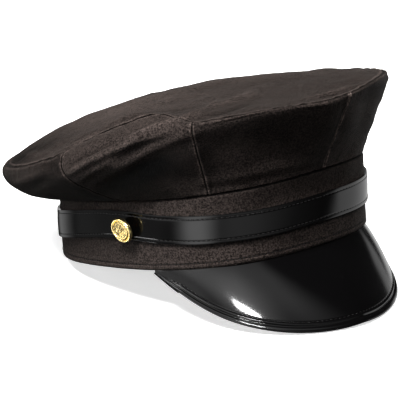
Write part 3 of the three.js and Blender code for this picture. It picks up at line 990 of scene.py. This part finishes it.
def peak_relief(from_edge, size):
    """Height of the peak's face at a distance from its edge, on a peak of full or smaller size."""
    place = from_edge / size
    across_rim = (place - RIM_WIDTH / 2) / (RIM_WIDTH / 2)
    relief = RIM_HEIGHT * np.sqrt(np.clip(1 - across_rim**2, 0, 1))
    for line_place, width, height in PEAK_LINES:
        relief = relief + height * bell(place, line_place, width)
    return relief * size


def relief_size(turn):
    """1 where the peak is long enough for its full relief, and less towards its ends."""
    return np.minimum(1, peak_length(turn) / RELIEF_LENGTH)


def make_peak():
    turn = np.linspace(-PEAK_HALF_SPAN, PEAK_HALF_SPAN, 241)
    length = peak_length(turn)[:, None]
    size = relief_size(turn)[:, None]
    strip = RELIEF_WIDTH * size
    fine = np.linspace(0, RELIEF_WIDTH, 50)[None] * size
    plain = strip + np.linspace(0, 1, 50)[None, 1:] * (length + PEAK_TUCK - strip)
    from_edge = np.concatenate([fine, plain], 1)[:, ::-1]
    along = 1 - from_edge / length
    grid = peak_point(turn[:, None], along)
    normals = grid_normals(grid, False)
    normals *= np.sign(normals[..., 2:])
    outer = grid + normals * peak_relief(from_edge, size)[..., None]
    thin = PEAK_THICKNESS * (1 - 0.5 * bell(from_edge, 0, 0.8))
    inner = grid - normals * thin[..., None]
    uv = np.stack([path_length(grid, 0), from_edge], -1)
    peak = shell("peak_shade", outer, inner, uv, False, PEAK_VINYL)
    dress(peak, "peak_gloss", "peak")
    around = np.linspace(-PEAK_HALF_SPAN * 0.9, PEAK_HALF_SPAN * 0.9, 600)
    place = 1 - PEAK_STITCH_PLACE * relief_size(around) / peak_length(around)
    path = peak_point(around, place)
    step = 0.01
    sideways = peak_point(around + step, place) - path
    forward = peak_point(around, place + step) - path
    normal = np.cross(sideways, forward)
    normal /= np.linalg.norm(normal, axis=-1, keepdims=True)
    normal *= np.sign(normal[..., 2:])
    seam = stitches("peak_stitches", path, normal, 3.0, (2.1, 0.55, 0.25), THREAD)
    dress(seam, "peak_gloss")


make_peak()


# Buttons: a rolled edge round a domed face, with a plain rosette in a ring of beads. Radii and
# heights are in shares of the button's radius.

BUTTON_STEPS = 144
FACE_EDGE = 0.76
# The button's outline from the edge of its face out, round its rim and in along its back
BUTTON_OUTLINE = [
    (0.79, 0.25),
    (0.81, 0.29),
    (0.84, 0.32),
    (0.88, 0.335),
    (0.92, 0.325),
    (0.96, 0.28),
    (0.99, 0.21),
    (1, 0.15),
    (0.98, 0.08),
    (0.94, 0.03),
    (0.88, 0),
    (0.6, 0),
]
# The gold's tone at the height of the plain dome, and its gain for each radius above that
PLAIN_TONE = 0.4
TONE_GAIN = 9
RIM_TONE = 0.9


def button_dome(r):
    return 0.24 + 0.17 * (1 - r**2)


def button_face(r, around):
    """Height of the face at a radius and an angle round the button."""
    beads = 0.035 * bell(r, 0.66, 0.05) * (0.6 + 0.4 * np.cos(36 * around))
    petals = 0.07 * bell(r, 0.36, 0.16) * np.cos(4 * around) ** 2
    heart = 0.08 * bell(r, 0, 0.12)
    leaves = 0.03 * bell(r, 0.52, 0.06) * np.sin(8 * around) ** 2
    return button_dome(r) + beads + petals + heart + leaves


def make_button(name, node, turn):
    radius = BUTTON_DIAMETER / 2
    around = np.arange(BUTTON_STEPS) * 2 * np.pi / BUTTON_STEPS
    face_r = np.linspace(0, FACE_EDGE, 46)
    face = button_face(face_r[None], around[:, None])
    shank = SHANK_DIAMETER / 2 / radius
    foot = -SHANK_LENGTH / radius
    outline = np.array(BUTTON_OUTLINE + [(shank, 0), (shank, foot), (0, foot)])
    r = np.concatenate([face_r, outline[:, 0]])
    z = np.concatenate([face, np.tile(outline[:, 1], (BUTTON_STEPS, 1))], 1)
    local = np.stack([r * np.cos(around)[:, None], r * np.sin(around)[:, None], z], -1)
    local = local * radius + UP * SHANK_LENGTH
    droop = math.radians(BUTTON_DROOP)
    out = outward_at(np.array(float(turn)))
    axis = Vector((out[0], out[1], -math.tan(droop))).normalized()
    clear = GAP + STRAP_THICKNESS + GAP + SHANK_DIAMETER / 2 * math.sin(droop)
    start = band_point(turn, clear, BUTTON_HEIGHT)
    spin = np.array(axis.to_track_quat("Z", "Y").to_matrix())
    points = local @ spin.T + start
    columns = points.shape[1]
    i, j = np.meshgrid(np.arange(BUTTON_STEPS), np.arange(columns - 1), indexing="ij")
    here = i * columns + j
    after = (i + 1) % BUTTON_STEPS * columns + j
    faces = np.stack([here, after, after + 1, here + 1], -1).reshape(-1, 4)
    button = new_object(name, points, faces, None, GOLD)
    marks = button.data.attributes.new("relief", "FLOAT", "POINT")
    centre = Vector(to_row(start))
    row_axis = Vector(to_row(np.array(axis)) - to_row(np.zeros(3))).normalized()
    for vertex in button.data.vertices:
        arm = (vertex.co - centre) * 1000
        up = arm.dot(row_axis)
        share = (arm - row_axis * up).length / radius
        above_dome = (up - SHANK_LENGTH) / radius - button_dome(share)
        on_face = share < FACE_EDGE + 0.01
        marks.data[vertex.index].value = PLAIN_TONE + above_dome * TONE_GAIN if on_face else RIM_TONE
    dress(button, "button_gold", node)


make_button("brass_button_right", "button_right", BUTTON_TURN)
make_button("brass_button_left", "button_left", -BUTTON_TURN)


# Camera, at the photograph's angle

VIEW_AZIMUTH = -42.7
VIEW_ELEVATION = 18.83
VIEW_DISTANCE = 2.5
AIM_RIGHT = -0.0050
AIM_UP = 0.0434
LENS = 354.4
CAMERA_UP = Vector((0, 0, 1))


def direction(azimuth, elevation):
    a = math.radians(azimuth)
    e = math.radians(elevation)
    return Vector((math.sin(a) * math.cos(e), -math.cos(a) * math.cos(e), math.sin(e)))


def facing(obj, place, back):
    """obj at a place, its own Z along back, as cameras and area lights look along -Z."""
    right = CAMERA_UP.cross(back).normalized()
    axes = Matrix((right, back.cross(right), back)).transposed()
    obj.matrix_world = Matrix.Translation(place) @ axes.to_4x4()
    bpy.context.scene.collection.objects.link(obj)


back = direction(VIEW_AZIMUTH, VIEW_ELEVATION)
view_right = CAMERA_UP.cross(back).normalized()
view_up = back.cross(view_right)
aim = view_right * AIM_RIGHT + view_up * AIM_UP
lens = bpy.data.cameras.new("camera")
lens.lens = LENS
lens.sensor_width = 36
lens.clip_end = 50
camera = bpy.data.objects.new("camera", lens)
facing(camera, aim + back * VIEW_DISTANCE, back)
bpy.context.scene.camera = camera


# Floor and lights

def make_floor():
    mesh = bpy.data.meshes.new("floor")
    half = 12
    corners = [(-half, -half, 0), (half, -half, 0), (half, half, 0), (-half, half, 0)]
    mesh.from_pydata(corners, [], [(0, 1, 2, 3)])
    mesh.materials.append(floor_material())
    floor = bpy.data.objects.new("floor", mesh)
    floor.visible_diffuse = False
    floor.visible_glossy = False
    floor.visible_shadow = False
    bpy.context.scene.collection.objects.link(floor)


def softbox(name, azimuth, elevation, distance, size, power, **seen_by):
    """A soft lamp aimed at the cap. seen_by names a kind of ray that doesn't see it."""
    lamp = bpy.data.lights.new(name, "AREA")
    lamp.shape = "RECTANGLE"
    lamp.size, lamp.size_y = size
    lamp.energy = power
    box = bpy.data.objects.new(name, lamp)
    box.visible_camera = False
    for kind, seen in seen_by.items():
        setattr(box, f"visible_{kind}", seen)
    target = Vector((0, 0, 0.06))
    way = direction(azimuth, elevation)
    facing(box, target + way * distance, way)


def window(tree, angle, edge, soft, inside_above):
    """1 on the inner side of an edge and 0 beyond it, smooth over soft degrees to each side."""
    low, high = (edge - soft, edge + soft) if inside_above else (edge + soft, edge - soft)
    return put(
        tree,
        "ShaderNodeMapRange",
        {"interpolation_type": "SMOOTHSTEP"},
        Value=angle,
        From_Min=math.radians(low),
        From_Max=math.radians(high),
    ).outputs["Result"]


# The studio round the cap, which lights it only in its gloss: soft panels, each with its middle
# azimuth, half width, lower and upper elevation and the softness of its edges in degrees
PANEL_COLUMNS = ("azimuth", "half_width", "side_softness", "low", "high", "softness", "strength")
PANELS = [
    (-76, 15, 12, -30, 0, 12, 1.9),
    (-80, 42, 22, 19, 52, 14, 1.2),
    (-30, 42, 20, 40, 75, 14, 0.62),
    (-112, 22, 8, -8, 14, 6, 0.6),
    (-30, 40, 44, -24, 0, 8, 0.43),
    (-135, 32, 10, -30, 0, 8, 0.13),
    (97, 45, 4, -30, -3, 5, 0.78),
    (98, 5, 3, -5, 14, 3, 0.55),
    (172, 12, 8, -30, -10, 5, 0.4),
    (142, 20, 12, -8, 8, 8, 0.25),
]


# How light the studio is all over
STUDIO_BASE = 0.012


def make_studio():
    world = bpy.data.worlds.new("studio")
    world.use_nodes = True
    tree = world.node_tree
    way = put(tree, "ShaderNodeTexCoord").outputs["Generated"]
    parts = put(tree, "ShaderNodeSeparateXYZ", Vector=way).outputs
    squared = calculate(tree, "POWER", parts[2], 2.0)
    level = calculate(tree, "SQRT", calculate(tree, "SUBTRACT", 1.0, squared))
    height = calculate(tree, "ARCSINE", parts[2])
    total = STUDIO_BASE
    for row in PANELS:
        panel = dict(zip(PANEL_COLUMNS, row))
        ahead = direction(panel["azimuth"], 0)
        towards = put(tree, "ShaderNodeVectorMath", {"operation": "DOT_PRODUCT"})
        tree.links.new(way, towards.inputs[0])
        towards.inputs[1].default_value = ahead
        cosine = calculate(tree, "DIVIDE", towards.outputs["Value"], level)
        off = calculate(tree, "ARCCOSINE", cosine)
        sides = window(tree, off, panel["half_width"], panel["side_softness"], False)
        above = window(tree, height, panel["low"], panel["softness"], True)
        below = window(tree, height, panel["high"], panel["softness"], False)
        lit = calculate(tree, "MULTIPLY", sides, calculate(tree, "MULTIPLY", above, below))
        bright = calculate(tree, "MULTIPLY", lit, float(panel["strength"]))
        total = calculate(tree, "ADD", total, bright)
    background = tree.nodes["Background"]
    tree.links.new(total, background.inputs["Strength"])
    background.inputs["Color"].default_value = (1, 1, 1, 1)
    bpy.context.scene.world = world
    world.cycles_visibility.diffuse = False


# Lamps by name, azimuth and elevation, distance, size and power. The first ones light the cap
# without a glint of their own, and the last ones only add glints.
SOFT_LAMPS = [
    ("key", -82, 56, 2.2, (0.6, 0.6), 118),
    ("front", -28, 52, 2.2, (0.7, 0.7), 30),
    ("left", -112, 14, 2.2, (0.8, 0.8), 15),
    ("side", 85, 35, 2.2, (1.0, 0.8), 18),
    ("back", 165, 30, 2.2, (1.2, 0.8), 14),
    ("bounce", -60, -40, 2.2, (1.6, 1.6), 2.5),
]
GLINT_LAMPS = [
    ("spark", -55, 24.2, 1.25, (0.36, 0.09), 15),
    ("edge", -106, 34, 1.3, (0.12, 0.3), 1.4),
    ("rim", -124, 18, 1.3, (0.3, 0.4), 2.4),
    ("low", -130, -42, 1.2, (0.6, 0.4), 4.5),
]

make_floor()
make_studio()
for row in SOFT_LAMPS:
    softbox(*row, glossy=False)
for row in GLINT_LAMPS:
    softbox(*row, diffuse=False)
bpy.context.scene.view_settings.view_transform = "Standard"
